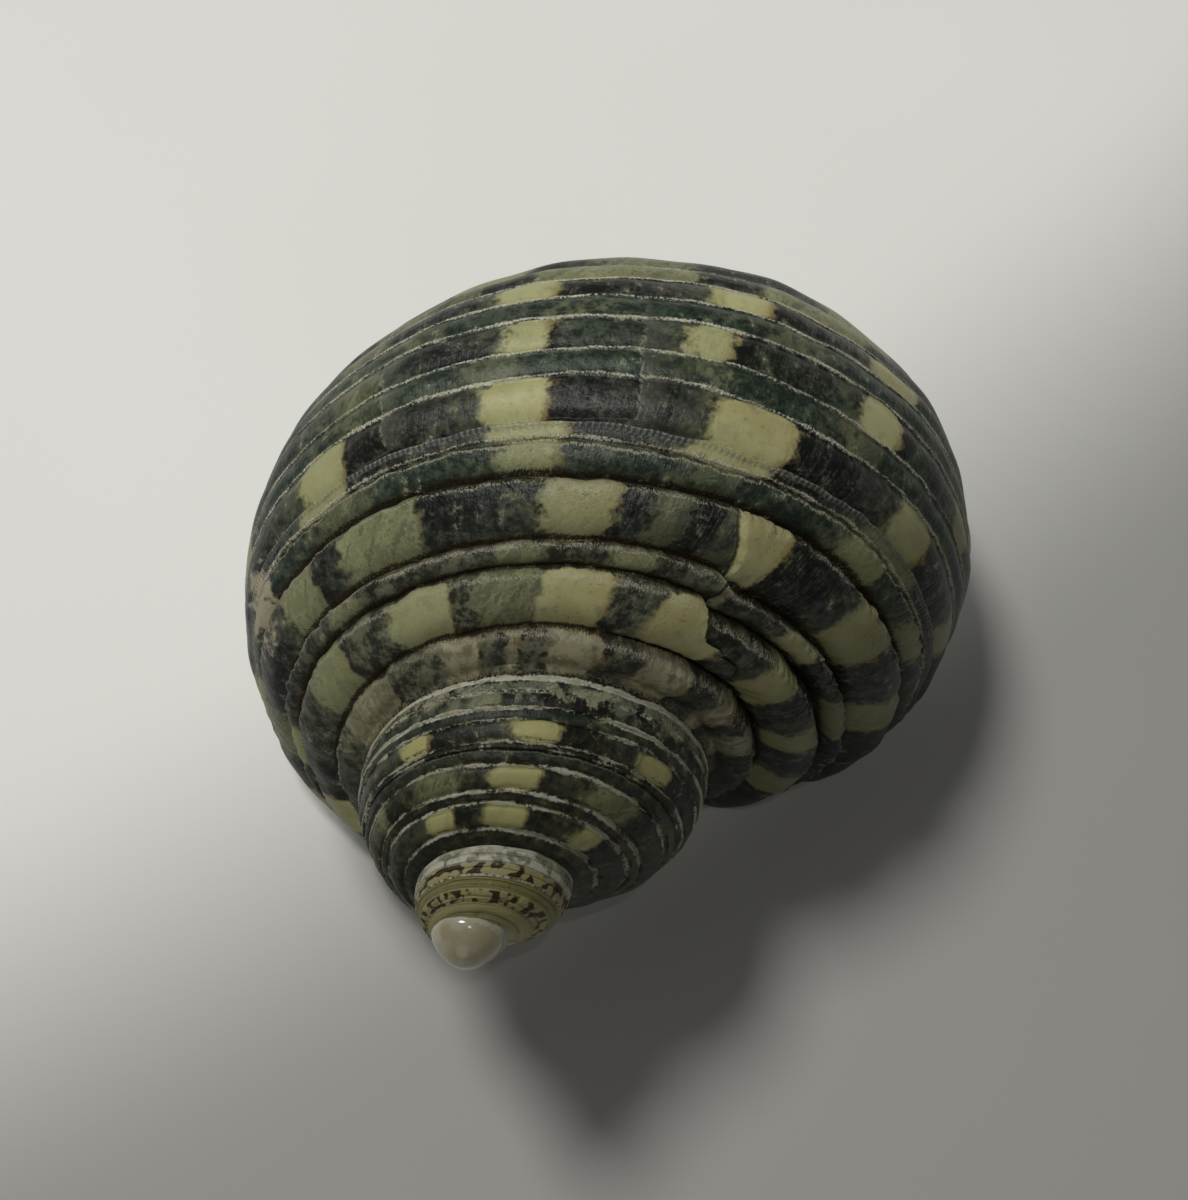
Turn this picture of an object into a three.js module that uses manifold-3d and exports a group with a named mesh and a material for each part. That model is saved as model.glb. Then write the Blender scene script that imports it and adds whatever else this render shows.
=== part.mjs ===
// Turban shell lying on its aperture. Millimetres, +Z up, the spire towards -Y.
import * as THREE from 'three';
import { mergeVertices } from 'three/addons/utils/BufferGeometryUtils.js';
import Module from 'manifold-3d';

// Growth: the whole shell enlarges by this factor on every full turn about its axis.
const WHORL_EXPANSION = 2.343;
const HALF_TURN = 0.5;
const FIRST_TURN = -3.5;
const LAST_TURN = 0.32;
// The growing edge leans: the side by the suture is this part of a turn ahead of the whorl's middle.
const EDGE_LEAN = 0.06;
// Close to the lip the whorl also sinks along the axis, away from the spire.
const SINK_TURN = 0.2;
const SINK_EASE = 0.1;
const SINK_DEPTH = 3.4;

// How the shell lies: its axis rises from the surface, heads to the front, and is rolled about itself.
const AXIS_RISE = 23.6;
const AXIS_HEADING = -99.25;
const AXIS_ROLL = -6.2;
// Height of the spire's vanishing point over the surface the shell lies on.
const APEX_HEIGHT = 26.4;

// The outside of a whorl where the turn count is zero, as an oval about a centre point.
// Radii are measured from the axis, drops from the vanishing point of the spire.
const WHORL_CENTRE_RADIUS = 10.0;
const WHORL_CENTRE_DROP = 32.65;
const WHORL_RADIUS = 17.1;
const OVALITY = 0.115;
const OVAL_LEAN = -50;
const SHOULDER_FULLNESS = 0.026;
const SHOULDER_ANGLE = 23;
// On the axis side the oval is held off the axis and hollowed under the base.
const COLUMELLA_GAP = 0.9;
const COLUMELLA_ROUNDING = 2.6;
const BASE_HOLLOW_DEPTH = 5.5;
const BASE_HOLLOW_RADIUS = 9.6;

// Spiral ribs by their groove angles on the oval, from the suture to the base, and their heights.
const RIB_GROOVES = [84, 74, 58, 51, 35, 27, 22.5, 11, 4, -6, -13.5, -22, -31, -41, -52, -64, -78];
const RIB_HEIGHTS = [0.5, 1.15, 0.55, 1.15, 0.5, 0.35, 0.65, 0.4, 0.5, 0.35, 0.5, 0.4, 0.4, 0.4, 0.35, 0.3];
// Where a rib's outline has its points, as parts of its width: wide ribs, narrow ribs, ribs under the base.
const WIDE_RIB = 9.5;
const WIDE_CREST = [0.2, 0.5, 0.8];
const NARROW_CREST = [0.28, 0.72];
const BASE_CREST = [0.5];
const BASE_ANGLE = -30;
const COLUMELLA_STEPS = 9;
// Steps along a full turn: the least, on the spire, and how many more the last whorl has.
const SPIRE_STEPS = 10;
const BODY_STEPS = 25;

// The hollow of the whorl is an upright ellipse.
const HOLLOW_CENTRE_RADIUS = 14.7;
const HOLLOW_CENTRE_DROP = 34.85;
const HOLLOW_HALF_WIDTH = 9.7;
const HOLLOW_HALF_HEIGHT = 13.6;
const HOLLOW_SIDES = 20;
const HOLLOW_START_TURN = -0.12;
const HOLLOW_PAST_LIP = 0.1;
const HOLLOW_STEPS = 18;

// The solid pillar about the axis, the smooth pad that closes its end, and the worn tip of the spire.
const PILLAR_START_DROP = 1;
const PILLAR_END_DROP = 40;
const PILLAR_END_RADIUS = 4.6;
const PILLAR_SIDES = 14;
const PAD_RADIUS = 9.5;
const PAD_HALF_LENGTH = 15.5;
const PAD_DROP = 38;
const PAD_TOWARDS_LIP = 2.5;
const PAD_SIDES = 20;
const TIP_RADIUS = 1.15;
const TIP_DROP = 1.9;
const TIP_SIDES = 12;

// Side of the block that stands for the surface the shell lies on.
const SURFACE_BLOCK = 400;

const radians = THREE.MathUtils.degToRad;
const wasm = await Module();
wasm.setup();

// A closed solid from a geometry's positions.
function solidOf(geometry) {
  geometry.deleteAttribute('normal');
  geometry.deleteAttribute('uv');
  const merged = mergeVertices(geometry, 1e-5);
  return new wasm.Manifold(new wasm.Mesh({
    numProp: 3,
    vertProperties: new Float32Array(merged.attributes.position.array),
    triVerts: new Uint32Array(merged.index.array),
  }));
}

// A point of the whorl's outside at an angle on the oval, raised by the relief there.
function whorlPoint(angle, relief) {
  const turned = radians(angle);
  const oval = OVALITY * Math.cos(2 * radians(angle - OVAL_LEAN));
  const full = SHOULDER_FULLNESS * Math.cos(3 * radians(angle - SHOULDER_ANGLE));
  const reach = WHORL_RADIUS * (1 + oval + full) + relief;
  const free = WHORL_CENTRE_RADIUS + reach * Math.cos(turned);
  const radius = (free + COLUMELLA_GAP + Math.hypot(free - COLUMELLA_GAP, COLUMELLA_ROUNDING)) / 2;
  let height = reach * Math.sin(turned) - WHORL_CENTRE_DROP;
  if (Math.sin(turned) < 0) {
    const inwards = Math.max(0, 1 - radius / BASE_HOLLOW_RADIUS);
    height += BASE_HOLLOW_DEPTH * inwards * inwards;
  }
  return new THREE.Vector2(radius, height);
}

// The parts of a rib's width where its crest has points.
function crestParts(start, width) {
  if (start < BASE_ANGLE) return BASE_CREST;
  return Math.abs(width) < WIDE_RIB ? NARROW_CREST : WIDE_CREST;
}

// The closed outline of a whorl: a groove and a rounded crest for each rib, then the axis side.
function whorlOutline() {
  const points = [];
  RIB_HEIGHTS.forEach((height, rib) => {
    const start = RIB_GROOVES[rib];
    const width = RIB_GROOVES[rib + 1] - start;
    points.push(whorlPoint(start, -height / 2));
    for (const part of crestParts(start, width)) {
      points.push(whorlPoint(start + part * width, height * (Math.sin(Math.PI * part) - 0.5)));
    }
  });
  const last = RIB_GROOVES.at(-1);
  const axisSide = RIB_GROOVES[0] - 360 - last;
  for (let step = 0; step < COLUMELLA_STEPS; step++) {
    points.push(whorlPoint(last + axisSide * step / COLUMELLA_STEPS, 0));
  }
  return points.reverse();
}

function hollowOutline() {
  const ellipse = new THREE.EllipseCurve(
    HOLLOW_CENTRE_RADIUS, -HOLLOW_CENTRE_DROP, HOLLOW_HALF_WIDTH, HOLLOW_HALF_HEIGHT);
  return ellipse.getPoints(HOLLOW_SIDES).slice(0, -1);
}

// How far a whorl has sunk along the axis at a turn.
function sinkAt(turn) {
  return SINK_DEPTH * (Math.hypot(1, Math.max(0, turn - SINK_TURN) / SINK_EASE) - 1);
}

// An outline extruded straight, then wound about the axis and enlarged along the growth spiral.
function woundSolid(outline, fromTurn, toTurn, steps) {
  const geometry = new THREE.ExtrudeGeometry(
    new THREE.Shape(outline), { depth: 1, steps, bevelEnabled: false });
  const position = geometry.attributes.position;
  const point = new THREE.Vector3();
  for (let index = 0; index < position.count; index++) {
    point.fromBufferAttribute(position, index);
    const lean = EDGE_LEAN * (point.y + WHORL_CENTRE_DROP) / WHORL_RADIUS;
    const turn = THREE.MathUtils.lerp(fromTurn, toTurn, point.z) + lean;
    const size = WHORL_EXPANSION ** turn;
    const swing = -2 * Math.PI * turn;
    point.set(point.x * Math.cos(swing), point.x * Math.sin(swing), point.y).multiplyScalar(size);
    position.setXYZ(index, point.x, point.y, point.z - sinkAt(turn));
  }
  return solidOf(geometry.applyMatrix4(lying));
}

// From the shell's own frame, axis along +Z with the vanishing point at zero, to how it lies.
const lying = new THREE.Matrix4()
  .makeRotationZ(radians(AXIS_HEADING))
  .multiply(new THREE.Matrix4().makeRotationY(radians(90 - AXIS_RISE)))
  .multiply(new THREE.Matrix4().makeRotationZ(radians(180 + AXIS_ROLL)))
  .setPosition(0, 0, APEX_HEIGHT);

// Half a turn at a time, with more steps on the larger whorls.
function whorls() {
  const outline = whorlOutline();
  let body = null;
  for (let turn = FIRST_TURN; turn < LAST_TURN; turn += HALF_TURN) {
    const end = Math.min(turn + HALF_TURN, LAST_TURN);
    const size = WHORL_EXPANSION ** Math.min(0, turn + HALF_TURN);
    const steps = Math.round((end - turn) * (SPIRE_STEPS + BODY_STEPS * size));
    const half = woundSolid(outline, turn, end, steps);
    body = body ? body.add(half) : half;
  }
  return body;
}

function pillar() {
  const profile = [
    new THREE.Vector2(0, -PILLAR_END_DROP),
    new THREE.Vector2(PILLAR_END_RADIUS, -PILLAR_END_DROP),
    new THREE.Vector2(0, -PILLAR_START_DROP),
  ];
  const geometry = new THREE.LatheGeometry(profile, PILLAR_SIDES).rotateX(Math.PI / 2);
  return solidOf(geometry.applyMatrix4(lying));
}

function pad() {
  const geometry = new THREE.SphereGeometry(PAD_RADIUS, PAD_SIDES, PAD_SIDES / 2)
    .rotateX(Math.PI / 2)
    .scale(1, 1, PAD_HALF_LENGTH / PAD_RADIUS)
    .translate(PAD_TOWARDS_LIP, 0, -PAD_DROP)
    .rotateZ(-2 * Math.PI * LAST_TURN);
  return solidOf(geometry.applyMatrix4(lying));
}

function tip() {
  const geometry = new THREE.SphereGeometry(TIP_RADIUS, TIP_SIDES, TIP_SIDES / 2).translate(0, 0, -TIP_DROP);
  return solidOf(geometry.applyMatrix4(lying));
}

// Everything under the surface the shell lies on is cut away, which leaves the lip's flat rim.
function underTheSurface() {
  const block = new THREE.BoxGeometry(SURFACE_BLOCK, SURFACE_BLOCK, SURFACE_BLOCK);
  return solidOf(block.translate(0, 0, -SURFACE_BLOCK / 2));
}

function shellGeometry() {
  const hollow = woundSolid(hollowOutline(), HOLLOW_START_TURN, LAST_TURN + HOLLOW_PAST_LIP, HOLLOW_STEPS);
  const cut = whorls().add(pillar()).add(pad()).add(tip()).subtract(hollow).subtract(underTheSurface());
  // Crumbs of no size that the cuts leave loose are dropped.
  const body = cut.decompose().sort((one, other) => other.volume() - one.volume())[0];
  const mesh = body.getMesh();
  const geometry = new THREE.BufferGeometry();
  geometry.setAttribute('position', new THREE.BufferAttribute(mesh.vertProperties, 3));
  geometry.setIndex(new THREE.BufferAttribute(mesh.triVerts, 1));
  geometry.computeBoundingBox();
  const centre = geometry.boundingBox.getCenter(new THREE.Vector3());
  geometry.translate(-centre.x, -centre.y, 0);
  geometry.computeVertexNormals();
  return geometry;
}

const shell = new THREE.Mesh(
  shellGeometry(),
  new THREE.MeshStandardMaterial({ color: 0x77786a, roughness: 0.5, metalness: 0 }));
shell.name = 'shell';

const turbanShell = new THREE.Group();
turbanShell.add(shell);

export default turbanShell;
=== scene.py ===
"""A turban shell lying on its aperture on a pale surface, spire towards the viewer."""
import math
import random

import bmesh
import bpy
import numpy as np
from mathutils import Matrix, Vector


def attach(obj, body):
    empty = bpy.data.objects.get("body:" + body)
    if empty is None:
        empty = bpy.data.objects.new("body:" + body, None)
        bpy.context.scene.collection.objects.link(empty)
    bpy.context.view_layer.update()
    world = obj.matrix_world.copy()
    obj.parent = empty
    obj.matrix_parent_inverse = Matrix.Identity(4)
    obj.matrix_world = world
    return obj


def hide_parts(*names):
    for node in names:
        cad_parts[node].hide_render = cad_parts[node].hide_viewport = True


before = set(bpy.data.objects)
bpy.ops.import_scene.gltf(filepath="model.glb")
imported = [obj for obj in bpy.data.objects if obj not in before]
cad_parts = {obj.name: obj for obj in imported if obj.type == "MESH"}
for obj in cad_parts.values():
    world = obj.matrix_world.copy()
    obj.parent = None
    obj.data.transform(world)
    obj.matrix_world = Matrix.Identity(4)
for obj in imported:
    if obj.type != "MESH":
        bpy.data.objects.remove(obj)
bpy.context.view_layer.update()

MM = 0.001

# Growth: the whole shell enlarges by this factor on every full turn about its axis.
WHORL_EXPANSION = 2.343
# Ends of the lengths that the whorls are wound in, in turns, and the steps of each length in degrees.
WINDING_START = -3.5
WINDING_ENDS = [-3.0, -2.5, -2.0, -1.5, -1.0, -0.5, 0.0, 0.04, 0.17, 0.32]
WINDING_STEPS = [6.0, 6.0, 6.0, 4.5, 3.0, 2.0, 1.4, 1.4, 0.55, 1.4]
# Where two lengths meet, the end of each bulges into the other by this part of a turn, so none stays inside.
END_BULGE = 0.03
# The growing edge leans: the side by the suture is this part of a turn ahead of the whorl's middle.
EDGE_LEAN = 0.06
# Close to the lip the whorl also sinks along the axis, away from the spire.
SINK_TURN = 0.2
SINK_EASE = 0.1
SINK_DEPTH = 3.4

# How the shell lies: its axis rises from the surface, heads to the front, and is rolled about itself.
AXIS_RISE = 23.6
AXIS_HEADING = -99.25
AXIS_ROLL = -6.2
# The vanishing point of the spire, in millimetres.
APEX = Vector((-11.0206, -27.3618, 26.4))

# The outside of a whorl where the turn count is zero, as an oval about a centre point.
WHORL_CENTRE_RADIUS = 10.0
WHORL_CENTRE_DROP = 32.65
WHORL_RADIUS = 17.1
OVALITY = 0.115
OVAL_LEAN = -50
SHOULDER_FULLNESS = 0.026
SHOULDER_ANGLE = 23
# On the axis side the oval is held off the axis and hollowed under the base.
COLUMELLA_GAP = 0.9
COLUMELLA_ROUNDING = 2.6
BASE_HOLLOW_DEPTH = 5.5
BASE_HOLLOW_RADIUS = 9.6

# Spiral ribs by their groove angles on the oval, from the suture to the base, and their heights.
RIB_GROOVES = np.array([84, 74, 58, 51, 35, 27, 22.5, 11, 4, -6, -13.5, -22, -31, -41, -52, -64, -78], float)
RIB_HEIGHTS = np.array([
    0.6, 1.15, 0.7, 1.15, 0.55, 0.3, 0.55, 0.3, 0.4, 0.3, 0.4, 0.45, 0.55, 0.55, 0.5, 0.4])
# How far a crest rises and a groove sinks, as parts of a rib's height; a groove goes by its higher rib.
CREST_RISE = 0.45
GROOVE_SINK = 0.55
GROOVE_DEPTHS = GROOVE_SINK * np.concatenate([
    RIB_HEIGHTS[:1], np.maximum(RIB_HEIGHTS[1:], RIB_HEIGHTS[:-1]), RIB_HEIGHTS[-1:]])
SPIRE_SHALLOWNESS = 0.25
# How full a rib's outline is: the higher, the squarer.
RIB_FULLNESS = 2.9
# Towards the view's right the ribs get rounder, and those beside the suture swell.
SWELL_PLACES = (20, 70)
SWELL_ANGLES = (30, 45)
SWELL = 0.6
ROUNDING = 0.7
# Above these angles a crest sits off its rib's middle, away from the suture, with the steeper slope there.
STEEP_ANGLES = (18, 30)
CREST_SHIFT = 0.14
SOFT_SLOPE = 0.5
STEEP_SLOPE = 2.5
# A groove that is cut deeper along a stretch: its angle and width, depth, and where it starts and ends.
DEEP_GROOVE = (74, 1.0)
DEEP_GROOVE_DEPTH = 0.4
DEEP_GROOVE_ENDS = ((15, 30), (70, 90))
# The widest steps between the outline's points, on the ribs and past this angle under the base.
RIB_COLUMN = 1.0
BASE_COLUMN = 2.0
BASE_ANGLE = -31
AXIS_SIDE_COLUMNS = 30
# A greater step than this between the angles of a face's corners is the seam where the outline closes.
SEAM_STEP = 300

# Thin raised threads along the rib edges: angle, height, width and how chalky on the spire.
THREADS = [
    (26.3, 0.16, 0.55, 0.5), (23.1, 0.16, 0.55, 0.9), (10.8, 0.22, 0.55, 0.55), (3.8, 0.24, 0.55, 1.2),
    (-6.2, 0.22, 0.55, 0.5), (-13.7, 0.2, 0.5, 0.6), (-22.2, 0.2, 0.5, 0.8), (-31.2, 0.2, 0.55, 0.8),
    (-41.2, 0.2, 0.6, 0.8), (-52.2, 0.18, 0.65, 0.8), (-64.2, 0.15, 0.7, 0.8)]
# Raised edges that only the ribs of the spire have.
SPIRE_THREADS = [(35.6, 0.5, 0.9), (51.4, 0.45, 0.9), (58.4, 0.45, 0.9), (74.4, 0.3, 0.9)]
# Where a thread's outline has its points, in widths from its middle, and how near no groove has one.
THREAD_COLUMNS = [-1.7, -0.8, 0, 0.8, 1.7]
THREAD_CLEARANCE = 2
# How much wider the chalk on the spire is than its threads, and than its raised edges.
THREAD_CHALK = 2.2
SPIRE_THREAD_CHALK = 1.3

# How strongly each groove is darkened with brown dirt and painted shade, and at least on the spire.
GROOVE_DIRT_AND_SHADE = [0.3, 1, 1, 1, 1, 0.55, 0.3, 0.25, 0.2, 0.2, 0.2, 0.2, 0.3, 0.3, 0.3, 0.3, 0.3]
SPIRE_DIRT_AND_SHADE = 0.8
# How far this dirt and painted shade lies from its groove, how much farther on the spire, and how wide it is.
GROOVE_OFFSET = 0.5
SPIRE_SHIFT = 1.5
GROOVE_WIDTH = 1.15

# Wanders over the whorl: size, the degrees along and across it that set their length, and a seed.
RIB_WANDERS = [(0.35, 14, 9, 8), (0.22, 3.5, 4, 9), (0.16, 0.8, 2, 12)]
GROWTH_WAVES = [(0.06, 3.1, 30, 3), (0.09, 8, 20, 5)]
# Oval angles between which the ribs wander, and how much of the growth waves the grooves have.
WANDER_ANGLES = ((-75, -40), (78, 84))
GROOVE_WAVES = 0.4

# Grooves whose rib has a pale frayed edge, and how far from the groove that edge is.
FRAYED_EDGES = [(74, 1.3), (58, 1.65), (51, 1.2), (35, 1.65), (27, 1.2)]
FRAY_WIDTH = 0.8
# How wide the chips in a frayed edge are across the rib, how close along it, and how far they stray and rise.
CHIP_WIDTH = 1.1
CHIP_COUNT = 2.4
CHIP_DRIFT = 0.3
CHIP_RISE = 0.1

# The hollow of the whorl is an upright ellipse.
HOLLOW_CENTRE_RADIUS = 14.7
HOLLOW_CENTRE_DROP = 34.85
HOLLOW_HALF_WIDTH = 9.7
HOLLOW_HALF_HEIGHT = 13.6
HOLLOW_SIDES = 64
HOLLOW_TURNS = (-0.95, 0.42)
HOLLOW_STEP = 4.0

# The solid pillar about the axis, the smooth pad that closes its end, and the worn tip of the spire.
PILLAR_START_DROP = 1
PILLAR_END_DROP = 40
PILLAR_START_RADIUS = 0.02
PILLAR_END_RADIUS = 4.6
PILLAR_SIDES = 48
PAD_RADIUS = 9.5
PAD_HALF_LENGTH = 15.5
PAD_DROP = 38
PAD_TOWARDS_LIP = 2.5
PAD_SIDES = (64, 48)
# Depth of the soft folds around the pad, as a part of its radius, and the size of them in millimetres.
PAD_FOLDS = 0.02
FOLD_SIZE = (0.9, 5)
# Where the pad's stained side gives way to the clean one, in radii from its middle.
PAD_STAIN = (-0.4, 0.45)
TIP_RADIUS = 2.4
TIP_HALF_LENGTH = 1.9
TIP_DROP = 2.6
TIP_TAPER = 0.25
TIP_SIDES = (48, 32)
# How far out along the tip its chipped pale rim reaches, from all of it to none, in half lengths.
TIP_RIM = (-0.2, 0.12)

# Side of the block that stands for the surface the shell lies on, in metres.
SURFACE_BLOCK = 0.4
# The middle of the aperture on that surface, and how far its lip reaches, in metres.
APERTURE = (0.0125, 0.008)
LIP_REACH = 0.024
# How rubbed the whorl is where it meets that surface outside the lip.
SCUFF = 0.4
# Edges sharper than this many degrees aren't shaded smooth.
SHARP_EDGE = 55

# Zones are told apart by the second coordinate of the growth map, which is the oval angle on the whorls.
INSIDE_ZONE = 1000
PAD_ZONE = 2000
TIP_ZONE = 3000
RIM_ZONE = 4000

# The growth break: places along the whorl in degrees where it crosses these oval angles.
BREAK_ANGLES = [35, 41, 47, 52, 58, 65, 67, 71]
BREAK_PLACES = [26, 28, 30.5, 32, 32, 36, 47, 51]
# The oval angles and the places between which it counts.
BREAK_ANGLE_ENDS = ((33, 35), (71, 74))
BREAK_PLACE_ENDS = ((-30, -10), (90, 120))
# Past it the ribs are pushed towards the suture: how far, at which angles, how suddenly and for how long.
BREAK_PUSH = 2.6
PUSH_ANGLES = ((36, 46), (60, 73))
PUSH_STEP = (-0.3, 0.3)
PUSH_LENGTH = 30
# Past it the whorl bulges below these angles and dips above them, where a lip is raised before it.
BULGE_ANGLES = (48, 56)
BREAK_BULGE = 0.35
BREAK_DIP = 0.5
BREAK_LIP = 0.14
BULGE_LENGTH = 6
LIP_LENGTH = 2.5
# Ribs with a blotch that the break cuts off, and the side of the break it is on.
BREAK_SIDES = [(1, -1), (3, 1)]
CUT_PLACES = (20, 52)
CUT_LEAST = 0.3
CUT_SHARPNESS = 3
# The farthest that a corner's distance from the break, a blotch's edge or a resting line is kept.
FAR_FROM_BREAK = 9
FAR_FROM_BLOTCH = 4
FAR_FROM_REST = 6
# Thin lines where growth rested: their places, how they lean, and the oval angles they cross.
REST_PLACES = (-33.5, 5.0)
REST_LEAN = 0.09
REST_ANGLES = (-8, 22)
# The rubbed pale patch on the left side: its middle, and its reach along the whorl and across it.
RUBBED_PLACE = -72
RUBBED_ANGLE = 30
RUBBED_REACH = (8, 14)
# Two small pits on the body whorl, each a place and an oval angle, and a degree of each in millimetres.
DOT = (12.0, -7.0)
RING = (15.0, 34.0)
PLACE_MM = 0.45
ANGLE_MM = 0.3
# The stretch where the ribs beside the suture are dusty: its middle, its reach and its oval angles.
DUSTY_PLACE = -20
DUSTY_REACH = 60
DUSTY_ANGLES = (44, 60)
# Oval angles past which the rib beside the suture is beige, and dirt is crusted in the suture.
BEIGE_ANGLES = (73, 75)
CRUST_ANGLES = (82.8, 84.4)
# On the spire: the angle and width of the chalky line by the suture, and of the limy film around it.
SUTURE_LINE = (-14, 2.2)
LIMY_BAND = (-8, 8)
# Turns between which the spire gives way to the body whorl, and the small whorls to the larger ones.
SPIRE_TURNS = (-0.78, -0.6)
YOUNG_TURNS = (-1.75, -1.5)
# Turns up to which the relief of the oldest whorls is worn away, and their colour.
WORN_RELIEF = (-2.75, -2.3)
WORN_COLOUR = (-2.5, -2.25)

# Cream blotches on each rib: place along the whorl and half length, in degrees, and how pale.
BLOTCHES = {
    0: [(-60, 14, .6), (-20.5, 5.5, .8), (-6, 2, .8), (11, 7, .8), (36.5, 7.5, .8), (59, 4, .8), (75, 5, .7)],
    1: [(-62, 9, .7), (-29, 8, .85), (-8, 7.5, .55), (5, 8, .95), (32, 9, 1), (58, 5, 1), (80, 4, .9),
        (104, 6, .8), (-390, 8, 1), (-355.5, 10.5, 1), (-310, 7, 1)],
    2: [(-48, 5, .6), (-7, 4, .6), (14, 4, .6), (33, 2, .6), (54, 5, .9), (80, 7, .7)],
    3: [(-58, 6, .65), (-35, 9, .62), (2, 6, .75), (18.5, 4, .4), (31, 6, 1), (61, 6, 1), (85, 5, .8),
        (-426, 5, .6), (-388, 10, .55), (-356.5, 9.5, .95), (-315, 12, .6)],
    4: [(-40, 5, .4), (-7.5, 4.5, .7), (20.5, 3.5, .35), (50, 5, .7), (72, 5, .8)],
    5: [(-46, 6, .8), (-8.5, 6, .8), (22, 7, .8), (55, 8, .6)],
    6: [(-45.5, 5.5, 1), (-11, 5, 1), (23.5, 6.5, 1), (55, 5, 1), (80, 4, .9),
        (-397, 6, 1), (-353, 8, 1), (-308.5, 7.5, 1)],
    7: [(-36, 4, .3), (-14, 3, .35), (16, 3, .3), (40, 3, .4)],
    8: [(-38, 4, .45), (-11, 3.2, .85), (14, 3.2, .8), (42, 4, 1), (68, 4, .8), (-372, 6, .6)],
    9: [(-28, 4, .3), (-2, 4, .12), (28, 4, .3)],
    10: [(-40, 5, .5), (-12.5, 4.5, 1), (17.5, 4.5, 1), (45, 5, .9)],
    11: [(-30, 9, .5), (0, 12, .6), (30, 10, .6)],
}
# Where none is near, more are drawn between these places: how they lean, and how far from the listed ones,
# then their spacing, stray, half lengths, paleness and chance.
FLAME_PLACES = (-1100, 200)
FLAME_LEAN = 0.25
FLAME_CLEARANCE = 40
FLAME_SPACING = 31
FLAME_STRAY = 4
FLAME_HALVES = (4, 8)
FLAME_PALENESS = (0.5, 1)
FLAME_CHANCE = 0.85
# Between these places on the spire only the blotches listed above are drawn.
BARE_SPIRE = (-480, -240)
# How soft a blotch's start is, and how much its corners are cut, how much more on the spire, and how tightly.
BLOTCH_START_SOFTNESS = 0.6
BLOTCH_CORNER = 1.0
SPIRE_CORNER = 2
CORNER_POWER = 5
# How teal each rib is between its blotches.
RIB_TEAL = [0.1, 0.12, 0.3, 0.25, 0.85, 0.2, 0.12, 0.95, 0.55, 0.9, 0.2, 0.3, 0.3, 0.4, 0.4, 0.4]

# Colours of the shell, then of the surface.
CREAM = (0.42, 0.415, 0.21, 1)
CREAM_WARM = (0.38, 0.35, 0.16, 1)
CREAM_GREEN = (0.28, 0.29, 0.15, 1)
CREAM_YELLOW = (0.44, 0.415, 0.17, 1)
OLIVE = (0.12, 0.125, 0.064, 1)
SPIRE_OLIVE = (0.07, 0.066, 0.028, 1)
SPIRE_RIDGE = (0.27, 0.255, 0.1, 1)
SLATE_DARK = (0.007, 0.008, 0.006, 1)
SLATE = (0.034, 0.038, 0.031, 1)
SLATE_PALE = (0.088, 0.094, 0.074, 1)
TEAL = (0.021, 0.036, 0.025, 1)
TEAL_PALE = (0.055, 0.07, 0.047, 1)
CORD_GREY = (0.12, 0.128, 0.125, 1)
DUST = (0.19, 0.188, 0.118, 1)
FILM = (0.38, 0.36, 0.24, 1)
FILM_GREY = (0.17, 0.175, 0.125, 1)
RUBBED = (0.4, 0.36, 0.25, 1)
TAN = (0.19, 0.12, 0.04, 1)
BROWN = (0.05, 0.032, 0.013, 1)
# Near black, for dirt and for painted shade in the grooves and along the break.
DIRT_AND_SHADE_BLACK = (0.009, 0.007, 0.005, 1)
FRAY = (0.32, 0.3, 0.22, 1)
CHALK = (0.6, 0.6, 0.48, 1)
CRUST = (0.2, 0.165, 0.095, 1)
BEIGE = (0.38, 0.355, 0.22, 1)
BEIGE_DARK = (0.17, 0.155, 0.095, 1)
NACRE = (0.5, 0.45, 0.35, 1)
NACRE_GREEN = (0.46, 0.48, 0.4, 1)
CALLUS = (0.24, 0.21, 0.12, 1)
CALLUS_DARK = (0.08, 0.08, 0.05, 1)
WORN_TIP = (0.44, 0.39, 0.25, 1)
WORN_TIP_PALE = (0.54, 0.51, 0.37, 1)
FLOOR_GREY = (0.74, 0.74, 0.71, 1)
FLOOR_PALE = (0.78, 0.775, 0.75, 1)
# Grains of the finishes, as cells to a metre.
GRIT_CELLS = 6500.0
GRAIN_CELLS = 3400.0
MOTTLE_CELLS = 1050.0
CLOUD_CELLS = 300.0
FLOOR_CELLS = 9.0
# Depth of the finish's fine relief, in metres.
FINE_RELIEF = 0.0002

# The surface, the lamps and the camera: metres, watts and degrees.
FLOOR_HALF = 1.5
LAMP_COLOUR = (1.0, 0.99, 0.965)
SHELL_AIM = (0, 0, 0.01)
WINDOW_PLACE = (-0.151, 0.203, 0.431)
WINDOW_SIZE = 0.125
WINDOW_POWER = 0.8
FAR_WINDOW_PLACE = (0.03, -0.03, 0.6)
FAR_WINDOW_AIM = (-0.265, 0.424, 0)
FAR_WINDOW_SIZE = 0.018
FAR_WINDOW_POWER = 7.3
FAR_WINDOW_BEAM = 77.4
FAR_WINDOW_EDGE = 0.06
FILL_PLACE = (-0.12, -0.4, 0.2)
FILL_SIZE = 0.3
FILL_POWER = 0.08
ROOM_COLOUR = (1.0, 0.98, 0.9, 1)
ROOM_STRENGTH = 0.064
CAMERA_PLACE = (-0.00237, -0.03408, 0.1249)
CAMERA_TILT = 18
CAMERA_NEAREST = 0.005
# In millimetres.
LENS_LENGTH = 44.88
SENSOR_WIDTH = 36

LYING = (Matrix.Translation(APEX) @ Matrix.Rotation(math.radians(AXIS_HEADING), 4, "Z")
         @ Matrix.Rotation(math.radians(90 - AXIS_RISE), 4, "Y")
         @ Matrix.Rotation(math.radians(180 + AXIS_ROLL), 4, "Z"))
LYING = Matrix.Scale(MM, 4) @ LYING


def eased(low, high, value):
    part = np.clip((value - low) / (high - low), 0, 1)
    return part * part * (3 - 2 * part)


def between(start, end, value):
    """One from an eased start to an eased end, and none outside them."""
    return eased(*start, value) * (1 - eased(*end, value))


def hump(value, middle, width):
    return np.exp(-((value - middle) / width) ** 2)


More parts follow.
